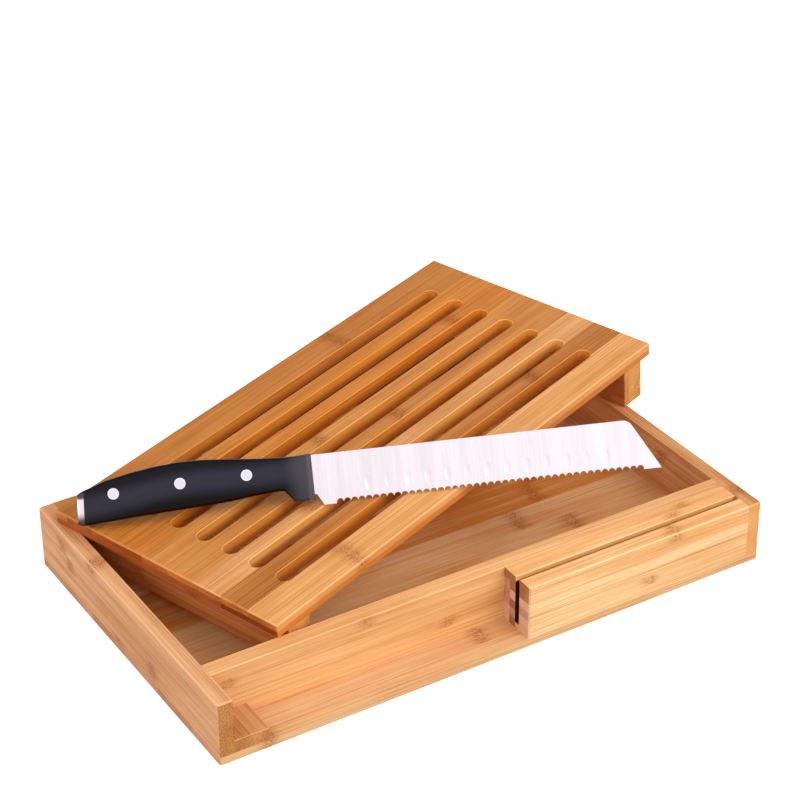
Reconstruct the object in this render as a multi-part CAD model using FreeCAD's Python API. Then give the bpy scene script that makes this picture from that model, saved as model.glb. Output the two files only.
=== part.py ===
import FreeCAD, Part
import math
import os

# Bread board that rests askew on its crumb tray, with a serrated bread knife lying on it.
# Millimetres. Origin at the centre of the tray's underside, X to the right along the front,
# Y to the back, Z up.

V = FreeCAD.Vector
Turn = FreeCAD.Rotation
Place = FreeCAD.Placement

# Tray
tray_length = 360.0
tray_depth = 222.0
wall_height = 34.6
base_thickness = 5.0
end_panel_thickness = 9.2
divider_thickness = 10.6
back_rail_thickness = 10.2
ledge_depth = 25.0
corner_round = 1.8
arris_bevel = 0.8
fine_bevel = 0.4

# Knife ledge in front of the divider
slot_block_length = 155.0
kerf_width = 3.8
kerf_front_wall = 10.0
kerf_floor = 3.9
handle_rest_length = 21.0
handle_rest_height = 7.8

# Dowels that key the glued joints
dowel_diameter = 6.0
dowel_in_panel = 5.5
dowel_in_rail = 18.0
dowel_in_board = 5.0
dowel_in_cleat = 14.0
cleat_dowel_step = 3

# Slotted board and its two cleats
board_thickness = 9.0
board_side_clearance = 0.4
board_corner_round = 1.2
cleat_setback = 8.7
cleat_width = 17.2
cleat_end_inset = 0.6
slot_count = 7
slot_pitch = 20.5
slot_width = 10.1
slot_end_margin = 29.8
seam_before_slot = 4.3

# Where the board rests on the tray's rim
board_turn = 17.5
cleat_on_panel = 3.5
corner_on_divider = 1.9
rest_gap = 0.15

# Knife blade and tang
blade_length = 200.0
blade_height = 29.1
blade_thickness = 2.0
edge_thickness = 0.6
grind_start = 9.5
heel_height = 6.6
heel_step = 1.2
heel_length = 5.0
heel_flat = 7.0
tip_angle = 60.4
tip_round = 6.0
serration_count = 43
serration_pitch = 4.135
serration_radius = 2.1
serration_depth = 2.25
serration_slant = 30.0
tang_tenon_length = 2.5
tang_tenon_height = 8.0
tang_tenon_level = 13.0

# Hollows ground in the blade's near flank
hollow_count = 13
hollow_pitch = 11.5
hollow_start = 31.0
hollow_level = 10.0
hollow_depth = 0.25
hollow_width = 4.0
hollow_height = 8.6

# Knife handle
handle_length = 135.0
handle_half_thickness = 8.0
handle_edge_round = 2.2
handle_butt_narrowing = 0.5
crown_radius = 36.0
body_section_count = 8
guard_section_count = 5
end_inset = 0.4
butt_lean = 3.7
butt_back = 20.9
back_rear_setback = 98.3
back_rear = 31.0
back_crest_setback = 70.0
back_crest = 33.4
back_waist_setback = 40.4
back_waist = 31.2
back_neck_setback = 12.1
back_neck = 29.4
back_front = 30.0
back_butt_slope = 0.5
back_front_slope = 0.08
butt_belly = 3.0
belly_rear_setback = 94.3
belly_rear = 5.4
belly_mid_setback = 60.6
belly_mid = 7.0
belly_fore_setback = 37.7
belly_fore = 8.9
belly_neck = 10.6
belly_butt_slope = 0.05
neck_length = 1.0
butt_back_round = 5.0
butt_belly_round = 2.6
guard_length = 12.3
guard_slope = 4.2
guard_bottom = 3.5
guard_inner_round = 3.4
guard_outer_round = 2.7
facet_length = 5.0
butt_cap_length = 3.6
rivet_count = 3
rivet_diameter = 6.4
rivet_pitch = 37.9
front_rivet_setback = 37.5
rivet_level = 21.8
rivet_arc_radius = 1300.0

# Where the knife lies on the board
knife_along = 91.8
knife_across = 54.7
knife_turn = -43.24
knife_pitch = 0.12
knife_lean = 56.0
knife_rest_gap = 0.05

# How far the cutting shapes run past what they cut
overrun = 1.0

# Heights and sizes that follow from the values above
half_length = tray_length / 2
half_depth = tray_depth / 2
rim = base_thickness + wall_height
inner_half = half_length - end_panel_thickness
divider_front = -half_depth + ledge_depth
divider_back = divider_front + divider_thickness
back_rail_front = half_depth - back_rail_thickness
board_length = 2 * inner_half - 2 * board_side_clearance
board_width = back_rail_front - divider_back - 2 * board_side_clearance
cleat_height = wall_height - board_thickness
cleat_length = board_width - 2 * cleat_end_inset
slot_lines = [board_width / 2 + slot_pitch * (index - (slot_count - 1) / 2) for index in range(slot_count)]
seams = [line - seam_before_slot for line in slot_lines]
right_cleat_start = board_length - cleat_setback - cleat_width
handle_rear = butt_cap_length - handle_length
handle_top = back_crest + butt_back_round


def box(low, high):
    size = [b - a for a, b in zip(low, high)]
    return Part.makeBox(size[0], size[1], size[2], V(*low))


def edges_where(shape, test):
    return [edge for edge in shape.Edges if test(edge.BoundBox)]


def same(a, b):
    return abs(a - b) < 1e-4


def upright(bound):
    return same(bound.XLength, 0) and same(bound.YLength, 0)


def round_edges(shape, radius, test):
    return shape.makeFillet(radius, edges_where(shape, test))


def bevel_edges(shape, size, test):
    return shape.makeChamfer(size, edges_where(shape, test))


def cylinder(radius, start, direction, length):
    return Part.makeCylinder(radius, length, start, direction)


# Tray pieces

def base_panel():
    plate = box((-half_length, -half_depth, 0), (half_length, half_depth, base_thickness))
    return round_edges(plate, corner_round, upright)


def end_panel(side):
    outer = side * half_length
    inner = side * inner_half
    low = (min(outer, inner), -half_depth, base_thickness)
    high = (max(outer, inner), half_depth, rim)
    panel = box(low, high)
    panel = round_edges(panel, corner_round, lambda b: upright(b) and same(b.XMin, outer))
    panel = bevel_edges(panel, arris_bevel, lambda b: same(b.ZMin, rim) and not (
        same(b.XMin, inner) and same(b.XMax, inner)))
    return panel.cut(rail_dowels(side))


def rail_dowels(side):
    centres = (divider_front + divider_thickness / 2, back_rail_front + back_rail_thickness / 2)
    mid_height = base_thickness + wall_height / 2
    starts = [V(side * (inner_half + dowel_in_panel), y, mid_height) for y in centres]
    length = dowel_in_panel + dowel_in_rail
    return Part.makeCompound([cylinder(dowel_diameter / 2, start, V(-side, 0, 0), length) for start in starts])


def rail(front, back):
    bar = box((-inner_half, front, base_thickness), (inner_half, back, rim))
    bar = bevel_edges(bar, fine_bevel, lambda b: same(b.ZMin, rim) and b.XLength > b.YLength)
    return bar.cut([rail_dowels(-1), rail_dowels(1)])


def knife_slot_block():
    left = inner_half - slot_block_length
    block = box((left, -half_depth, base_thickness), (inner_half, divider_front, rim))
    block = bevel_edges(block, arris_bevel, lambda b: same(b.YMax, -half_depth) and (
        same(b.ZMin, rim) or same(b.XMax, left)))
    kerf_front = -half_depth + kerf_front_wall
    kerf_back = kerf_front + kerf_width
    kerf_bottom = base_thickness + kerf_floor
    block = block.cut(box((left - overrun, kerf_front, kerf_bottom), (inner_half, kerf_back, rim + overrun)))
    return bevel_edges(block, fine_bevel, lambda b: same(b.ZMin, rim) and same(b.YLength, 0) and (
        same(b.YMin, kerf_front) or same(b.YMin, kerf_back)))


def handle_rest_block():
    left = -inner_half
    right = left + handle_rest_length
    top = base_thickness + handle_rest_height
    block = box((left, -half_depth, base_thickness), (right, divider_front, top))
    block = bevel_edges(block, fine_bevel, lambda b: same(b.XMin, right) and same(b.YMax, -half_depth))
    return bevel_edges(block, fine_bevel, lambda b: same(b.ZMin, top)
                       and b.XMax > left and b.YMin < divider_front)


# Board pieces, in the board's own frame: origin at its front left bottom corner

def slotted_blank():
    board = box((0, 0, 0), (board_length, board_width, board_thickness))
    board = round_edges(board, board_corner_round, upright)
    board = bevel_edges(board, arris_bevel, lambda b: same(b.ZMin, board_thickness) or same(b.ZMax, 0))
    for line in slot_lines:
        board = board.cut(slot_cutter(line))
    board = bevel_edges(board, fine_bevel, on_slot_mouth)
    return board.cut([cleat_dowels(cleat_setback), cleat_dowels(right_cleat_start)])


def on_slot_mouth(bound):
    rim_edge = board_corner_round + arris_bevel
    inside = bound.YMin > rim_edge and bound.YMax < board_width - rim_edge
    return inside and same(bound.ZMin, board_thickness)


def board_strips():
    blank = slotted_blank()
    borders = [-overrun] + seams + [board_width + overrun]
    strips = []
    for front, back in zip(borders, borders[1:]):
        slab = box((-overrun, front, -overrun), (board_length + overrun, back, board_thickness + overrun))
        strips.append(blank.common(slab))
    return strips


def slot_cutter(centre):
    radius = slot_width / 2
    left = slot_end_margin + radius
    right = board_length - slot_end_margin - radius
    low = -overrun
    high = board_thickness + overrun
    middle = box((left, centre - radius, low), (right, centre + radius, high))
    ends = [cylinder(radius, V(x, centre, low), V(0, 0, 1), high - low) for x in (left, right)]
    return middle.fuse(ends).removeSplitter()


def cleat_dowels(left):
    dowels = []
    for seam in seams[::cleat_dowel_step]:
        start = V(left + cleat_width / 2, seam - slot_pitch / 2, -dowel_in_cleat)
        dowels.append(cylinder(dowel_diameter / 2, start, V(0, 0, 1), dowel_in_cleat + dowel_in_board))
    return Part.makeCompound(dowels)


def cleat(left):
    bar = box((left, cleat_end_inset, -cleat_height), (left + cleat_width, cleat_end_inset + cleat_length, 0))
    bar = bevel_edges(bar, fine_bevel, lambda b: upright(b) or same(b.ZMax, -cleat_height))
    return bar.cut(cleat_dowels(left))


def board_place():
    tilt = math.degrees(math.atan2(cleat_height, right_cleat_start))
    turn = Turn(V(0, 0, 1), board_turn).multiply(Turn(V(0, 1, 0), -tilt))
    support = turn.multVec(V(right_cleat_start, 0, -cleat_height))
    corner_x = half_length - cleat_on_panel - support.x
    corner_y = divider_back - corner_on_divider
    return Place(V(corner_x, corner_y, rim + rest_gap), turn)


# Knife pieces, in the knife's own frame: X from the handle's front end to the tip, along the
# cutting edge, Z up to the spine, the near flank on -Y

def side_profile(outline, half):
    face = Part.Face(Part.Wire(Part.__sortEdges__(outline)))
    face.translate(V(0, -half, 0))
    return face.extrude(V(0, 2 * half, 0))


def chain(points):
    corners = [V(x, 0, z) for x, z in points]
    return [Part.makeLine(a, b) for a, b in zip(corners, corners[1:])]


def round_corner(body, x, z, radius):
    return round_edges(body, radius, lambda b: same(b.XMin, x) and same(b.XMax, x)
                       and same(b.ZMin, z) and same(b.ZMax, z))


def curve(points, start_slope, end_slope):
    spline = Part.BSplineCurve()
    spline.interpolate(Points=[V(x, 0, z) for x, z in points],
                       InitialTangent=V(1, 0, start_slope), FinalTangent=V(1, 0, end_slope))
    return spline.toShape()


def handle_profile(half):
    butt = -handle_length
    guard = -guard_length
    notch = guard - guard_slope
    neck = notch - guard_inner_round - neck_length
    back = [(butt, butt_back), (-back_rear_setback, back_rear), (-back_crest_setback, back_crest),
            (-back_waist_setback, back_waist), (-back_neck_setback, back_neck), (0, back_front)]
    belly = [(butt, butt_belly), (-belly_rear_setback, belly_rear), (-belly_mid_setback, belly_mid),
             (-belly_fore_setback, belly_fore), (neck, belly_neck)]
    front = [(neck, belly_neck), (notch, belly_neck), (guard, guard_bottom),
             (0, guard_bottom), (0, back_front)]
    outline = [curve(back, back_butt_slope, back_front_slope), curve(belly, belly_butt_slope, 0)]
    body = side_profile(outline + chain(front) + chain([back[0], belly[0]]), half)
    body = round_corner(body, butt, butt_back, butt_back_round)
    body = round_corner(body, butt, butt_belly, butt_belly_round)
    body = round_corner(body, notch, belly_neck, guard_inner_round)
    return round_corner(body, guard, guard_bottom, guard_outer_round)


def steps(start, end, count):
    return [start + (end - start) * index / count for index in range(count)]


def handle_section(x, low, high, half):
    middle = (low + high) / 2
    crown = V(x, half - crown_radius, middle)
    drop = high - handle_edge_round - middle
    corner = V(x, crown.y + math.sqrt((crown_radius - handle_edge_round) ** 2 - drop ** 2), middle + drop)
    top = corner + V(0, 0, handle_edge_round)
    flank = crown + (corner - crown).normalize() * crown_radius
    bend = corner + ((top - corner) + (flank - corner)).normalize() * handle_edge_round
    rise = [V(x, 0, high), top, bend, flank, V(x, half, middle)]
    fall = [V(x, point.y, low + high - point.z) for point in rise[-2::-1]]
    side = rise + fall
    edges = half_section(side) + half_section([V(x, -point.y, point.z) for point in reversed(side)])
    return Part.Wire(edges)


def half_section(points):
    top, start, bend, flank, apex, low_flank, low_bend, low_start, bottom = points
    arcs = [Part.Arc(start, bend, flank), Part.Arc(flank, apex, low_flank), Part.Arc(low_flank, low_bend, low_start)]
    return [Part.makeLine(top, start)] + [arc.toShape() for arc in arcs] + [Part.makeLine(low_start, bottom)]


def handle_blank():
    profile = handle_profile(handle_half_thickness)
    neck = -guard_length - guard_slope - guard_inner_round
    stations = [handle_rear - butt_cap_length / 2] + steps(handle_rear, neck, body_section_count)
    stations += steps(neck, -guard_length / 2, guard_section_count)
    butt_half = handle_half_thickness - handle_butt_narrowing
    sections = [handle_section(-handle_length, *span_at(profile, end_inset - handle_length), butt_half)]
    sections += [handle_section(x, *span_at(profile, x), handle_half_thickness) for x in stations]
    sections.append(handle_section(0, *span_at(profile, -end_inset), handle_half_thickness))
    return Part.makeLoft(sections, True, True).cut(behind_butt_plane(-handle_length))


def behind_butt_plane(x):
    shift = handle_top * math.tan(math.radians(butt_lean))
    rear = -handle_length - overrun
    corners = [(rear, 0), (x, 0), (x + shift, handle_top), (rear, handle_top), (rear, 0)]
    return side_profile(chain(corners), handle_half_thickness + overrun)


def span_at(profile, x):
    bound = profile.slice(V(1, 0, 0), x)[0].BoundBox
    return bound.ZMin, bound.ZMax


def rivets():
    pins = []
    half = handle_half_thickness + overrun
    for index in range(rivet_count):
        behind = index * rivet_pitch
        level = rivet_level - behind ** 2 / (2 * rivet_arc_radius)
        start = V(-front_rivet_setback - behind, -half, level)
        pins.append(cylinder(rivet_diameter / 2, start, V(0, 1, 0), 2 * half))
    return pins


def tang_tenon():
    low = (handle_rear - tang_tenon_length, -blade_thickness / 2, tang_tenon_level - tang_tenon_height / 2)
    high = (handle_rear + tang_tenon_length, blade_thickness / 2, tang_tenon_level + tang_tenon_height / 2)
    return box(low, high)


def handle_scale(blank, side):
    face = side * blade_thickness / 2
    outer = side * (handle_half_thickness + overrun)
    scale = blank.common(box((-handle_length, min(face, outer), 0), (0, max(face, outer), handle_top)))
    slope = facet_length / (handle_half_thickness - blade_thickness / 2)
    corners = [V(0, face, 0), V(-facet_length - slope * overrun, outer, 0),
               V(overrun, outer, 0), V(overrun, face, 0)]
    facet = Part.Face(Part.makePolygon(corners + corners[:1])).extrude(V(0, 0, handle_top))
    return scale.cut([behind_butt_plane(handle_rear), facet] + rivets())


def butt_cap(blank):
    return blank.common(behind_butt_plane(handle_rear)).cut(tang_tenon())


def blade(blank):
    tip = blade_length - blade_height / math.tan(math.radians(tip_angle))
    outline = [(0, heel_height), (heel_step, heel_height), (heel_length, 0), (blade_length, 0),
               (tip, blade_height), (0, blade_height), (0, heel_height)]
    steel = side_profile(chain(outline), blade_thickness / 2)
    steel = round_corner(steel, tip, blade_height, tip_round)
    steel = steel.cut(grind_cutters()).cut(serration_cutters()).cut(hollow_cutters())
    tang = blank.common(box((-handle_length, -blade_thickness / 2, 0), (0, blade_thickness / 2, handle_top)))
    tang = tang.cut(behind_butt_plane(handle_rear))
    return steel.fuse([tang, tang_tenon()]).cut(rivets()).removeSplitter()


def grind_cutters():
    cutters = []
    for side in (-1, 1):
        corners = [V(grind_start, side * blade_thickness / 2, blade_height),
                   V(grind_start, side * edge_thickness / 2, 0),
                   V(grind_start, side * blade_thickness, 0),
                   V(grind_start, side * blade_thickness, blade_height)]
        wedge = Part.Face(Part.makePolygon(corners + corners[:1]))
        cutters.append(wedge.extrude(V(blade_length, 0, 0)))
    return cutters


def serration_cutters():
    slant = math.radians(serration_slant)
    direction = V(0, math.cos(slant), -math.sin(slant))
    first = heel_length + heel_flat + serration_pitch / 2
    level = serration_depth - serration_radius
    reach = 2 * blade_thickness
    cutters = []
    for index in range(serration_count):
        middle = V(first + index * serration_pitch, 0, level)
        cutters.append(cylinder(serration_radius, middle - direction * reach, direction, 2 * reach))
    return cutters


def hollow_cutters():
    across = ((hollow_width / 2) ** 2 + hollow_depth ** 2) / (2 * hollow_depth)
    upward = ((hollow_height / 2) ** 2 + hollow_depth ** 2) / (2 * hollow_depth)
    taper = (blade_thickness - edge_thickness) / 2 / blade_height
    flank = edge_thickness / 2 + taper * hollow_level
    outward = V(0, -1, -taper).normalize()
    cutters = []
    for index in range(hollow_count):
        surface = V(hollow_start + index * hollow_pitch, -flank, hollow_level)
        centre = surface + outward * (upward - hollow_depth)
        cutters.append(Part.makeTorus(upward - across, across, centre, V(1, 0, 0), -90, 90, 360))
    return cutters


def knife_place(pieces):
    turn = Turn(V(0, 0, 1), knife_turn)
    turn = turn.multiply(Turn(V(0, 1, 0), knife_pitch))
    turn = turn.multiply(Turn(V(1, 0, 0), knife_lean - 90))
    laid = Part.makeCompound(pieces)
    laid.Placement = Place(V(0, 0, 0), turn)
    lift = knife_rest_gap - laid.optimalBoundingBox().ZMin
    return Place(V(knife_along, knife_across, board_thickness + lift), turn)


def moved(shape, place):
    copy = shape.copy()
    copy.Placement = place.multiply(copy.Placement)
    return copy


def tray_pieces():
    return {
        "base_panel": base_panel(),
        "left_end_panel": end_panel(-1),
        "right_end_panel": end_panel(1),
        "divider_rail": rail(divider_front, divider_back),
        "back_rail": rail(back_rail_front, half_depth),
        "knife_slot_block": knife_slot_block(),
        "handle_rest_block": handle_rest_block(),
        "left_corner_dowels": rail_dowels(-1),
        "right_corner_dowels": rail_dowels(1),
    }


def board_pieces():
    pieces = {"board_strip_" + str(number): strip for number, strip in enumerate(board_strips(), 1)}
    pieces["left_cleat"] = cleat(cleat_setback)
    pieces["right_cleat"] = cleat(right_cleat_start)
    pieces["left_cleat_dowels"] = cleat_dowels(cleat_setback)
    pieces["right_cleat_dowels"] = cleat_dowels(right_cleat_start)
    return pieces


def knife_pieces():
    blank = handle_blank()
    pins = [pin.common(blank) for pin in rivets()]
    return {
        "blade_with_tang": blade(blank),
        "near_handle_scale": handle_scale(blank, -1),
        "far_handle_scale": handle_scale(blank, 1),
        "butt_cap": butt_cap(blank),
        "front_rivet": pins[0],
        "middle_rivet": pins[1],
        "rear_rivet": pins[2],
    }


def assemble():
    shapes = tray_pieces()
    on_tray = board_place()
    for name, shape in board_pieces().items():
        shapes[name] = moved(shape, on_tray)
    knife = knife_pieces()
    on_board = on_tray.multiply(knife_place(list(knife.values())))
    for name, shape in knife.items():
        shapes[name] = moved(shape, on_board)
    return shapes


if __name__ == "__main__":
    os.makedirs("parts", exist_ok=True)
    for name, shape in assemble().items():
        shape.exportStep("parts/" + name + ".step")
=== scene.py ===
import math

import bpy
from mathutils import Matrix, Vector

# Bread board askew on its crumb tray, with its bread knife on top: materials, light and camera.
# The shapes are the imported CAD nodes. Lengths are in metres, and in millimetres inside materials.

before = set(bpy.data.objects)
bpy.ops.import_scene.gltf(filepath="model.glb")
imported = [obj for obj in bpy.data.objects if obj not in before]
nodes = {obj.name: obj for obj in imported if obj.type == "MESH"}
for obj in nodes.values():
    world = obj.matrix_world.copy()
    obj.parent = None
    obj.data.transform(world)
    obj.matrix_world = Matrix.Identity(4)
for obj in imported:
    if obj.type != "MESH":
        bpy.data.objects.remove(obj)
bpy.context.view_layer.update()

MM = 0.001
IMAGE_WIDTH = 800
WHITE = (1.0, 1.0, 1.0, 1.0)

# Where the board and the knife lie in the tray's frame
BOARD_PLACE = Matrix((
    (0.950581, -0.300706, -0.077278, -124.816 * MM),
    (0.299717, 0.953717, -0.024366, -77.3 * MM),
    (0.081028, 0.0, 0.996712, 39.75 * MM),
    (0, 0, 0, 1)))
KNIFE_PLACE = Matrix((
    (0.898649, 0.400421, 0.179143, -54.746 * MM),
    (-0.434956, 0.760349, 0.482372, 2.148 * MM),
    (0.056941, -0.511403, 0.857452, 56.793 * MM),
    (0, 0, 0, 1)))
TRAY_PLACE = Matrix.Identity(4)

# Turns for a frame, since the grain runs along its X
GRAIN_ACROSS = Matrix.Rotation(math.radians(90), 4, "Z")
GRAIN_UPRIGHT = Matrix.Rotation(math.radians(90), 4, "Y")

# Board strips: their pitch and first seam across the board, the glue line between their two plies
# and how far it blurs, and the rectangle that holds the slots
SLOT_PITCH = 20.5
FIRST_SEAM = 21.9
PLY_SEAM = 4.5
PLY_BLUR = 0.3
SLOTS_ALONG = (29.0, 311.8)
SLOTS_ACROSS = (20.8, 154.6)

# Slot walls: how little a wall faces up, and the painted shade with the heights that this grows between
WALL_FACING = 0.35
SLOT_SHADE = (172, 92, 24)
SLOT_SHADE_FADE = (6.8, 0.5)

# Kerf of the knife block, across the tray, and the heights that its painted light at the lip and its painted
# shade grow between
KERF_ACROSS = (-101.1, -97.1)
KERF_LINE = -99.1
KERF_FLOOR = 8.8
KERF_PAINTED_LIGHT = (240, 176, 106)
KERF_PAINTED_LIGHT_FADE = (39.4, 38.8)
KERF_SHADE = (56, 26, 10)
KERF_SHADE_FADE = (37.0, 35.8)

# Marks of the stalk's nodes: how far they wander along the grain, and how mark and halo fade
MARK_WANDER = 10.0
MARK_FADE = (6.0, 2.0)
HALO_FADE = (10.0, 3.0)

# How far each seed moves the noise of the grain, so that no two pieces look alike
SEED_STEP = (37.0, 11.0, 23.0)

# Painted highlight on the wood's arrises, and the stronger painted highlight on those round the slots
ARRIS_HIGHLIGHT = 0.4
ARRIS_HIGHLIGHT_AT_SLOTS = 0.9

# Rivets' axes, along and up the knife
RIVETS = (("front_rivet", -37.5, 21.8), ("middle_rivet", -75.4, 21.2), ("rear_rivet", -113.3, 19.6))

# Floor, in metres, with its tone and glow
FLOOR_HALF = 6.0
FLOOR_DROP = 0.0005
FLOOR_TONE = (0.9, 0.9, 0.9, 1.0)
FLOOR_GLOW = 0.6

# Soft shadow painted on the floor, in the board's frame: its tone, its middle and sides along the
# board, the slant of its front and back, and how these fade
SHADOW_TONE = (0.055, 0.04, 0.03, 1.0)
SHADOW_MIDDLE = 278.0
SHADOW_SIDES = (175.0, 110.0)
SHADOW_SLANT = 0.08
SHADOW_FRONT = (80.0, 115.0)
SHADOW_BACK = (232.0, 210.0)


def srgb(red, green, blue):
    """The linear colour of a tone whose parts go from 0 to 255."""
    def linear(value):
        value = value / 255
        return value / 12.92 if value <= 0.04045 else ((value + 0.055) / 1.055) ** 2.4
    return (linear(red), linear(green), linear(blue), 1.0)


def deeper(tone, strength=1.0):
    """A darker and redder tone, as in the threads and nodes of the bamboo."""
    return tuple(value * (1 - strength * loss) for value, loss in zip(tone, (0.22, 0.36, 0.5)))


def painted_light_tone(tone):
    """A brighter and yellower tone, painted light on the walls of the slots."""
    return tuple(min(255, value * gain) for value, gain in zip(tone, (1.06, 1.06, 0.86)))


def painted_highlight_tone(tone):
    """A paler tone, painted as a highlight on arrises."""
    return tuple(min(255, 1.1 * value) for value in tone)


class Shader:
    """A material's node tree, with short ways to add and join nodes."""

    def __init__(self, name):
        self.material = bpy.data.materials.new(name)
        self.material.use_nodes = True
        self.tree = self.material.node_tree
        self.base = self.tree.nodes["Principled BSDF"]

    def feed(self, socket, value):
        if isinstance(value, bpy.types.NodeSocket):
            self.tree.links.new(value, socket)
        else:
            socket.default_value = value

    def add(self, kind, inputs=None, **settings):
        node = self.tree.nodes.new(kind)
        for key, value in settings.items():
            setattr(node, key, value)
        for key, value in (inputs or {}).items():
            self.feed(node.inputs[key], value)
        return node

    def math(self, operation, first, second=0.0, clamp=False):
        inputs = {0: first, 1: second}
        return self.add("ShaderNodeMath", inputs, operation=operation, use_clamp=clamp).outputs[0]

    def vector_math(self, operation, first, second):
        return self.add("ShaderNodeVectorMath", {0: first, 1: second}, operation=operation).outputs

    def span(self, value, start, end, low=0.0, high=1.0):
        """Smoothly maps start..end to low..high."""
        inputs = {"Value": value, "From Min": start, "From Max": end, "To Min": low, "To Max": high}
        return self.add("ShaderNodeMapRange", inputs, interpolation_type="SMOOTHSTEP").outputs[0]

    def mix(self, factor, first, second):
        node = self.add("ShaderNodeMix", data_type="RGBA")
        for socket, value in ((node.inputs[0], factor), (node.inputs[6], first), (node.inputs[7], second)):
            self.feed(socket, value)
        return node.outputs[2]

    def times(self, *values):
        product = values[0]
        for value in values[1:]:
            product = self.math("MULTIPLY", product, value)
        return product

    def between(self, value, low, high):
        """1 from low to high and 0 outside."""
        return self.times(self.math("GREATER_THAN", value, low), self.math("LESS_THAN", value, high))

    def noise(self, vector, stretch, detail=2.0, roughness=0.5):
        scaled = self.vector_math("MULTIPLY", vector, stretch)[0]
        inputs = {"Vector": scaled, "Scale": 1.0, "Detail": detail, "Roughness": roughness}
        return self.add("ShaderNodeTexNoise", inputs).outputs["Fac"]

    def parts(self, vector):
        return self.add("ShaderNodeSeparateXYZ", {0: vector}).outputs

    def point_in(self, place):
        """The piece's own coordinates in millimetres, in the frame of place."""
        inputs = {"Vector": self.add("ShaderNodeTexCoord").outputs["Object"], "Scale": (MM, MM, MM),
                  "Location": place.to_translation(), "Rotation": place.to_euler()}
        return self.add("ShaderNodeMapping", inputs, vector_type="TEXTURE").outputs[0]

    def normal_in(self, place):
        """The surface's normal in the frame of place."""
        inputs = {"Vector": self.add("ShaderNodeTexCoord").outputs["Normal"], "Rotation": place.to_euler()}
        return self.add("ShaderNodeMapping", inputs, vector_type="TEXTURE").outputs[0]

    def bump(self, height, strength, depth):
        """Relief from height, depth millimetres deep."""
        inputs = {"Height": height, "Strength": strength, "Distance": depth * MM}
        self.feed(self.base.inputs["Normal"], self.add("ShaderNodeBump", inputs).outputs[0])

    def surface(self, colour, roughness, metallic=0.0, specular=0.5):
        self.feed(self.base.inputs["Base Color"], colour)
        self.feed(self.base.inputs["Roughness"], roughness)
        self.base.inputs["Metallic"].default_value = metallic
        self.base.inputs["Specular IOR Level"].default_value = specular
        return self.material


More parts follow.
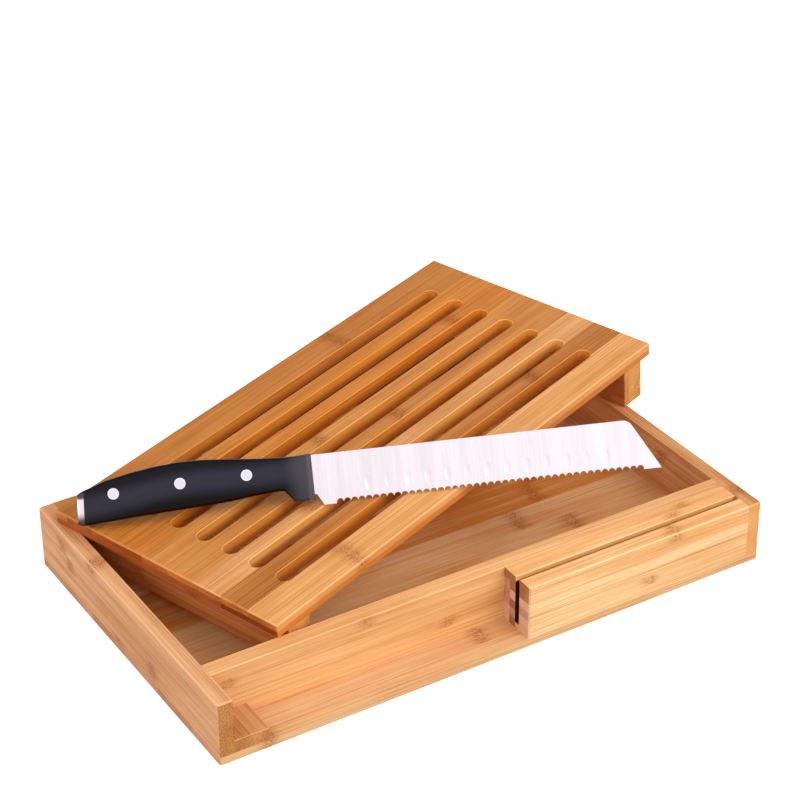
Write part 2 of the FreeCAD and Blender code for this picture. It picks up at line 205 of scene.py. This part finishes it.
class Bamboo(Shader):
    """Bamboo with its grain along the frame's X. pale and deep are the ends of its tones."""

    def __init__(self, name, place, pale, deep, seed):
        super().__init__(name)
        self.pale = pale
        self.deep = deep
        placed = self.point_in(place)
        normal = self.parts(self.normal_in(place))
        self.x, self.y, self.z = self.parts(placed)
        self.facing_end = self.math("ABSOLUTE", normal[0])
        self.facing_up = self.math("ABSOLUTE", normal[2])
        self.point = self.vector_math("ADD", placed, tuple(seed * step for step in SEED_STEP))[0]
        self.broad = self.noise(self.point, (0.006, 0.16, 0.16))
        self.cloud = self.noise(self.point, (0.016, 0.05, 0.05), 3.0)
        self.fibre = self.noise(self.point, (0.012, 1.0, 1.0), 3.0, 0.7)

    def lamellae(self, size, shift, lot, kerf):
        """For each lamella a random tone from -0.5 to 0.5, and more random numbers as a colour."""
        across = self.math("MAXIMUM", self.y, KERF_LINE) if kerf else self.y
        column = self.math("FLOOR", self.math("DIVIDE", self.math("ADD", across, shift[0]), size[0]))
        row = self.math("FLOOR", self.math("DIVIDE", self.math("ADD", self.z, shift[1]), size[1]))
        cell = self.add("ShaderNodeCombineXYZ", {0: column, 1: row, 2: lot}).outputs[0]
        chance = self.add("ShaderNodeTexWhiteNoise", {"Vector": cell}, noise_dimensions="3D").outputs
        return self.math("SUBTRACT", chance["Value"], 0.5), chance["Color"]

    def grain(self, tone, variety):
        """The level between deep and pale, from bands, clouds and fine fibres, and the darker threads."""
        thread = self.noise(self.point, (0.009, 1.9, 1.9), 2.0, 0.6)
        threads = self.times(self.span(thread, 0.52, 0.66), self.span(self.broad, 0.35, 0.6, 0.25, 0.6))
        level = self.math("ADD", self.times(tone, variety), self.span(self.broad, 0.3, 0.7, 0.26, 0.74))
        level = self.math("ADD", level, self.span(self.cloud, 0.3, 0.7, -0.18, 0.18))
        level = self.math("ADD", level, self.span(self.fibre, 0.32, 0.68, -0.34, 0.34), clamp=True)
        return level, threads

    def node_marks(self, offset, gap):
        """Speckled bands with a faint halo, one in each gap along the grain."""
        wander = self.times(self.noise(self.point, (0.05, 0.3, 0.3)), MARK_WANDER)
        station = self.math("DIVIDE", self.math("ADD", self.x, wander), gap)
        station = self.math("FRACT", self.math("ADD", station, offset))
        away = self.times(self.math("ABSOLUTE", self.math("SUBTRACT", station, 0.5)), gap)
        speck = self.span(self.noise(self.point, (0.6, 1.3, 1.3), 3.0, 0.7), 0.46, 0.56)
        specks = self.times(self.span(away, *MARK_FADE), speck, 0.8)
        halo = self.times(self.span(away, *HALO_FADE), 0.25)
        return self.math("MAXIMUM", specks, halo)

    def end_grain(self, tone, pale, deep, ply, lower, variety, lines, dots):
        """Cut ends: a patch for each lamella, with bundles of fibres as dots."""
        patch = self.span(self.cloud, 0.3, 0.7, 0.2, 0.8)
        patch = self.math("ADD", patch, self.times(tone, variety), clamp=True)
        face = self.mix(patch, srgb(*deep), srgb(*pale))
        if ply is not None:
            face = self.mix(self.times(lower, 0.85), face, srgb(*ply))
        bundles = self.noise(self.point, lines, 2.0, 0.6)
        return self.mix(self.span(bundles, 0.48, 0.62, 0.0, dots), face, srgb(*deeper(deep)))

    def slot_walls(self, colour, level, slotted):
        """Painted light makes the slots' walls golden, and painted shade darkens them with their depth."""
        wall = self.times(self.math("LESS_THAN", self.facing_up, WALL_FACING), slotted)
        painted_lit_wall = self.mix(level, srgb(*painted_light_tone(self.deep)), srgb(*painted_light_tone(self.pale)))
        # Painted shade, growing towards the bottom of the slot
        painted_shade = self.span(self.z, *SLOT_SHADE_FADE, 0.0, 0.78)
        return self.mix(wall, colour, self.mix(painted_shade, painted_lit_wall, srgb(*SLOT_SHADE)))

    def kerf_walls(self, colour):
        """Painted light makes the kerf's walls golden at the lip, and painted shade darkens them below."""
        inside = self.times(self.between(self.y, *KERF_ACROSS), self.math("GREATER_THAN", self.z, KERF_FLOOR))
        # Painted light at the lip, turning into painted shade further down
        wall = self.mix(self.span(self.z, *KERF_SHADE_FADE), srgb(*KERF_PAINTED_LIGHT), srgb(*KERF_SHADE))
        return self.mix(self.times(inside, self.span(self.z, *KERF_PAINTED_LIGHT_FADE)), colour, wall)

    # Painted highlight: faces that lean like the arrises' bevels are mixed towards a paler tone
    def painted_arris_highlights(self, colour, highlight_amount):
        arris = self.times(self.span(self.facing_up, 0.3, 0.5), self.span(self.facing_up, 0.95, 0.85), highlight_amount)
        return self.mix(arris, colour, srgb(*painted_highlight_tone(self.pale)))


def bamboo(name, place, pale, deep, seed, lamella, lot=None, shift=(0.0, 0.0), variety=0.5,
           mark_gap=210.0, marks=1.0, mark_at=None, ply=None, end=None, end_ply=None, end_variety=1.0,
           end_lines=(0.3, 1.1, 1.1), end_dots=0.55, slots=False, kerf=False):
    """A bamboo material. lamella is a width and a height, and lot chooses the lamellae's random tones."""
    wood = Bamboo(name, place, pale, deep, seed)
    tone, chance = wood.lamellae(lamella, shift, seed if lot is None else lot, kerf)
    level, threads = wood.grain(tone, variety)
    colour = wood.mix(level, srgb(*deep), srgb(*pale))
    colour = wood.mix(threads, colour, srgb(*deeper(deep, 0.8)))

    # The nodes lie by chance, or else one of them lies at mark_at
    if mark_at is None:
        offset = wood.parts(chance)[1]
    else:
        offset = 0.5 - (mark_at + MARK_WANDER / 2) / mark_gap
    amount = wood.times(wood.node_marks(offset, mark_gap), marks)
    colour = wood.mix(amount, colour, srgb(*deeper(deep)))

    # The lower ply can have a tone of its own, and so can the ends
    lower = wood.span(wood.z, PLY_SEAM + PLY_BLUR, PLY_SEAM - PLY_BLUR)
    if ply is not None:
        colour = wood.mix(wood.times(lower, 0.8), colour, srgb(*ply))
    end_pale, end_deep = end or (pale, deep)
    face = wood.end_grain(tone, end_pale, end_deep, end_ply, lower, end_variety, end_lines, end_dots)
    colour = wood.mix(wood.span(wood.facing_end, 0.6, 0.85), colour, face)

    # Slot walls and the kerf get painted light near the top and painted shade with their depth, and arrises a
    # painted highlight
    highlight_amount = ARRIS_HIGHLIGHT
    if slots:
        slotted = wood.times(wood.between(wood.x, *SLOTS_ALONG), wood.between(wood.y, *SLOTS_ACROSS))
        highlight_amount = wood.span(slotted, 0.0, 1.0, ARRIS_HIGHLIGHT, ARRIS_HIGHLIGHT_AT_SLOTS)
        colour = wood.slot_walls(colour, level, slotted)
    if kerf:
        colour = wood.kerf_walls(colour)
    colour = wood.painted_arris_highlights(colour, highlight_amount)
    wood.bump(wood.math("SUBTRACT", wood.fibre, wood.times(threads, 0.6)), strength=0.3, depth=0.1)
    return wood.surface(colour, wood.span(wood.fibre, 0.3, 0.7, 0.46, 0.6), specular=0.2)


def dowel_wood(name, place, seed):
    """Plain wood without marks, its lamellae much wider than a dowel."""
    return bamboo(name, place, (226, 184, 132), (196, 150, 98), seed, lamella=(60.0, 60.0), marks=0.0)


def blade_steel():
    """White brushed steel, its brush lines across the blade."""
    shader = Shader("blade_steel")
    point = shader.point_in(KNIFE_PLACE)
    brush = shader.noise(point, (1.4, 0.1, 0.02), 3.0, 0.6)
    wide = shader.noise(point, (0.16, 0.1, 0.01))
    level = shader.math("ADD", shader.span(brush, 0.3, 0.7, -0.5, 0.5), shader.span(wide, 0.3, 0.7),
                        clamp=True)
    colour = shader.mix(level, srgb(221, 211, 218), srgb(229, 221, 227))
    shader.bump(brush, strength=0.15, depth=0.05)
    return shader.surface(colour, shader.span(brush, 0.3, 0.7, 0.4, 0.5), metallic=1.0)


def handle_black():
    """Satin black plastic with painted sheen along the middle of the grip, and painted shade towards its
    edges, warmer below as a painted reflection of the board. It is greyer at the guard.
    """
    shader = Shader("handle_black")
    point = shader.point_in(KNIFE_PLACE)
    x, y, z = shader.parts(point)
    grain = shader.noise(point, (1.1, 1.1, 1.1), 3.0, 0.6)
    sweep = shader.noise(point, (0.03, 0.09, 0.09))
    middle = shader.span(x, -134.0, -70.0, 12.0, 19.5)
    above = shader.math("SUBTRACT", z, middle)
    # Painted sheen: a pale band round the middle of the grip's height
    pale = shader.times(shader.span(above, -9.0, 0.0), shader.span(above, 11.0, 3.0))
    # Painted shade above and below the band, browner below as a painted reflection of the board
    colour = shader.mix(shader.span(above, -6.0, 6.0), srgb(8, 5, 4), srgb(14, 12, 20))
    colour = shader.mix(pale, colour, shader.mix(sweep, srgb(37, 36, 48), srgb(47, 45, 58)))
    colour = shader.mix(shader.span(x, -18.0, -5.0, 0.0, 0.8), colour, srgb(70, 66, 72))
    colour = shader.mix(shader.span(x, -3.6, -2.4), colour, srgb(80, 75, 80))
    shader.bump(grain, strength=0.12, depth=0.08)
    return shader.surface(colour, shader.span(grain, 0.35, 0.65, 0.3, 0.38), specular=0.12)


def polished_steel(name, colour_of):
    """Polished steel; colour_of gives its colour from the shader and the knife's own coordinates."""
    shader = Shader(name)
    point = shader.point_in(KNIFE_PLACE)
    lines = shader.noise(point, (0.4, 0.4, 1.2))
    return shader.surface(colour_of(shader, point), shader.span(lines, 0.3, 0.7, 0.22, 0.28), metallic=1.0)


def cap_steel():
    """Painted reflections: bright in the middle, grey below, and dark where the back rounds over."""
    def sweep(shader, point):
        z = shader.parts(point)[2]
        low = shader.mix(shader.span(z, 5.5, 11.5), srgb(87, 66, 68), srgb(223, 214, 228))
        return shader.mix(shader.span(z, 17.6, 19.2), low, srgb(88, 74, 80))
    return polished_steel("cap_steel", sweep)


def rivet_steel(name, x, z):
    """Pale steel with a brighter rim round the axis through x and z."""
    def rim(shader, point):
        flat = shader.vector_math("MULTIPLY", point, (1, 0, 1))[0]
        away = shader.vector_math("DISTANCE", flat, (x, 0, z))["Value"]
        return shader.mix(shader.span(away, 2.5, 2.9), srgb(220, 212, 229), srgb(234, 229, 236))
    return polished_steel(name, rim)


def dress(name, material):
    slots = nodes[name].data.materials
    if len(slots) == 0:
        slots.append(material)
    for index in range(len(slots)):
        slots[index] = material


# Tray
dress("base_panel", bamboo(
    "floor_bamboo", TRAY_PLACE, (226, 180, 130), (204, 124, 50), seed=1.0, lamella=(20.5, 5.2),
    lot=12990339.0, shift=(18.2, 0.1), variety=1.1, mark_gap=340.0,
    end=((206, 150, 108), (186, 124, 78)), end_lines=(0.3, 0.014, 0.85), end_dots=0.3))
PANELS = (
    ("left_end_panel", (230, 174, 126), (194, 124, 74), ((204, 142, 78), (164, 100, 48)), 0.6, 3.0, -5.0),
    ("right_end_panel", (224, 166, 110), (190, 121, 68), ((236, 171, 104), (217, 150, 85)), 0.2, 4.0, 5.0))
for name, pale, deep, end, end_dots, seed, shift in PANELS:
    dress(name, bamboo(
        name + "_bamboo", TRAY_PLACE @ GRAIN_ACROSS, pale, deep, seed=seed, lamella=(20.0, 8.6),
        lot=49509.0, shift=(shift, 0.0), variety=0.45, mark_gap=460.0, end=end, end_variety=0.3,
        end_dots=end_dots))
dress("divider_rail", bamboo(
    "divider_bamboo", TRAY_PLACE, (243, 188, 130), (217, 152, 92), seed=5.0, lamella=(5.4, 6.6),
    variety=0.4, mark_gap=520.0, marks=0.8))
dress("back_rail", bamboo(
    "back_rail_bamboo", TRAY_PLACE, (222, 156, 92), (176, 108, 50), seed=6.0, lamella=(5.2, 6.6),
    mark_gap=240.0))
dress("knife_slot_block", bamboo(
    "block_bamboo", TRAY_PLACE, (252, 208, 154), (230, 162, 94), seed=7.0, lamella=(5.6, 5.8),
    lot=732309.0, shift=(102.8, -5.0), variety=0.6, mark_gap=340.0,
    end=((214, 168, 138), (164, 102, 64)), end_variety=1.6, end_dots=0.15, kerf=True))
dress("handle_rest_block", bamboo(
    "rest_bamboo", TRAY_PLACE @ GRAIN_ACROSS, (214, 154, 100), (178, 112, 59), seed=8.0,
    lamella=(7.0, 4.0), marks=0.0, end=((202, 139, 79), (174, 108, 56)), end_dots=0.4))
for seed, name in enumerate(("left_corner_dowels", "right_corner_dowels"), 30):
    dress(name, dowel_wood(name + "_wood", TRAY_PLACE, seed))

# Board strips, from front to back: tones, where one node mark lies, and the lower ply at the ends
STRIPS = (
    ((235, 173, 109), (208, 139, 73), 400.0, (133, 49, 7)),
    ((202, 130, 63), (164, 94, 34), 268.0, (128, 46, 6)),
    ((232, 171, 110), (201, 133, 73), 90.0, (170, 84, 26)),
    ((214, 145, 77), (184, 110, 47), 190.0, (174, 86, 27)),
    ((219, 151, 81), (190, 114, 48), 141.0, (168, 81, 24)),
    ((216, 137, 61), (182, 102, 30), 290.0, (172, 84, 25)),
    ((218, 142, 63), (188, 110, 36), 60.0, (168, 79, 22)),
    ((206, 135, 64), (175, 101, 38), 230.0, (164, 77, 21)))
for number, (pale, deep, mark_at, end_ply) in enumerate(STRIPS, 1):
    name = "board_strip_%d" % number
    dress(name, bamboo(
        name + "_bamboo", BOARD_PLACE, pale, deep, seed=10.0 + number, lamella=(SLOT_PITCH, PLY_SEAM),
        shift=(-FIRST_SEAM, 0.0), variety=0.2, mark_gap=330.0, mark_at=mark_at, ply=(208, 116, 34),
        end=((205, 123, 62), (157, 74, 25)), end_ply=end_ply, end_lines=(0.3, 0.1, 1.2), end_dots=0.3,
        slots=True))
for seed, name in enumerate(("left_cleat", "right_cleat"), 20):
    dress(name, bamboo(
        name + "_bamboo", BOARD_PLACE @ GRAIN_ACROSS, (211, 140, 82), (173, 99, 48), seed=seed,
        lamella=(5.6, 6.4), end=((236, 172, 94), (204, 134, 62)), end_dots=0.35))
for seed, name in enumerate(("left_cleat_dowels", "right_cleat_dowels"), 32):
    dress(name, dowel_wood(name + "_wood", BOARD_PLACE @ GRAIN_UPRIGHT, seed))

# Knife
dress("blade_with_tang", blade_steel())
black = handle_black()
dress("near_handle_scale", black)
dress("far_handle_scale", black)
dress("butt_cap", cap_steel())
for name, x, z in RIVETS:
    dress(name, rivet_steel(name + "_steel", x, z))


# Floor, light and camera

def floor():
    """A white floor with a soft shadow painted behind the tray, under and beside the board's overhang."""
    mesh = bpy.data.meshes.new("floor")
    corners = [(x * FLOOR_HALF, y * FLOOR_HALF, -FLOOR_DROP) for x, y in ((-1, -1), (1, -1), (1, 1), (-1, 1))]
    mesh.from_pydata(corners, [], [(0, 1, 2, 3)])
    plane = bpy.data.objects.new("floor", mesh)
    bpy.context.scene.collection.objects.link(plane)
    plane.visible_diffuse = False
    plane.visible_glossy = False
    shader = Shader("white_floor")
    x, y, z = shader.parts(shader.point_in(BOARD_PLACE))
    beside = shader.math("ABSOLUTE", shader.math("SUBTRACT", x, SHADOW_MIDDLE))
    behind = shader.math("SUBTRACT", y, shader.times(x, SHADOW_SLANT))
    painted_shade = shader.times(shader.span(beside, *SHADOW_SIDES), shader.span(behind, *SHADOW_FRONT),
                         shader.span(behind, *SHADOW_BACK))
    colour = shader.mix(painted_shade, FLOOR_TONE, SHADOW_TONE)
    shader.base.inputs["Emission Color"].default_value = WHITE
    shader.feed(shader.base.inputs["Emission Strength"], shader.span(painted_shade, 0.0, 1.0, FLOOR_GLOW, 0.0))
    mesh.materials.append(shader.surface(colour, 0.9, specular=0.0))


def soft_light(name, position, target, size, power, colour=(1.0, 1.0, 1.0)):
    lamp = bpy.data.lights.new(name, "AREA")
    lamp.size = size
    lamp.energy = power
    lamp.color = colour
    holder = bpy.data.objects.new(name, lamp)
    holder.location = position
    direction = Vector(target) - Vector(position)
    holder.rotation_euler = direction.to_track_quat("-Z", "Y").to_euler()
    bpy.context.scene.collection.objects.link(holder)


def studio(strength):
    world = bpy.data.worlds.new("studio")
    world.use_nodes = True
    background = world.node_tree.nodes["Background"]
    background.inputs["Color"].default_value = WHITE
    background.inputs["Strength"].default_value = strength
    bpy.context.scene.world = world
    bpy.context.scene.view_settings.view_transform = "Standard"


def camera(position, yaw, pitch, roll, focal):
    """The angles are in degrees, and focal is in pixels of the image."""
    yaw, pitch, roll = (math.radians(angle) for angle in (yaw, pitch, roll))
    forward = Vector((math.sin(yaw) * math.cos(pitch), math.cos(yaw) * math.cos(pitch), math.sin(pitch)))
    level = forward.cross(Vector((0, 0, 1))).normalized()
    above = level.cross(forward)
    right = math.cos(roll) * level + math.sin(roll) * above
    up = math.cos(roll) * above - math.sin(roll) * level
    eye = bpy.data.cameras.new("camera")
    eye.sensor_width = 36.0
    eye.lens = focal * eye.sensor_width / IMAGE_WIDTH
    holder = bpy.data.objects.new("camera", eye)
    turn = Matrix((right, up, -forward)).transposed()
    holder.matrix_world = Matrix.Translation(position) @ turn.to_4x4()
    bpy.context.scene.collection.objects.link(holder)
    bpy.context.scene.camera = holder


floor()
soft_light("key_light", (0.75, -1.35, 1.3), (0, 0, 0.02), size=1.3, power=19.5, colour=(1.0, 0.99, 0.97))
soft_light("front_softbox", (-0.75, -1.3, 0.9), (0, 0, 0.05), size=3.2, power=19.0)
soft_light("left_fill", (-1.7, 0.1, 0.8), (0, 0, 0.05), size=1.4, power=10.5)
studio(strength=0.6)
camera((-611.16 * MM, -996.14 * MM, 803.03 * MM), yaw=31.56, pitch=-30.65, roll=-0.48, focal=2386.72)
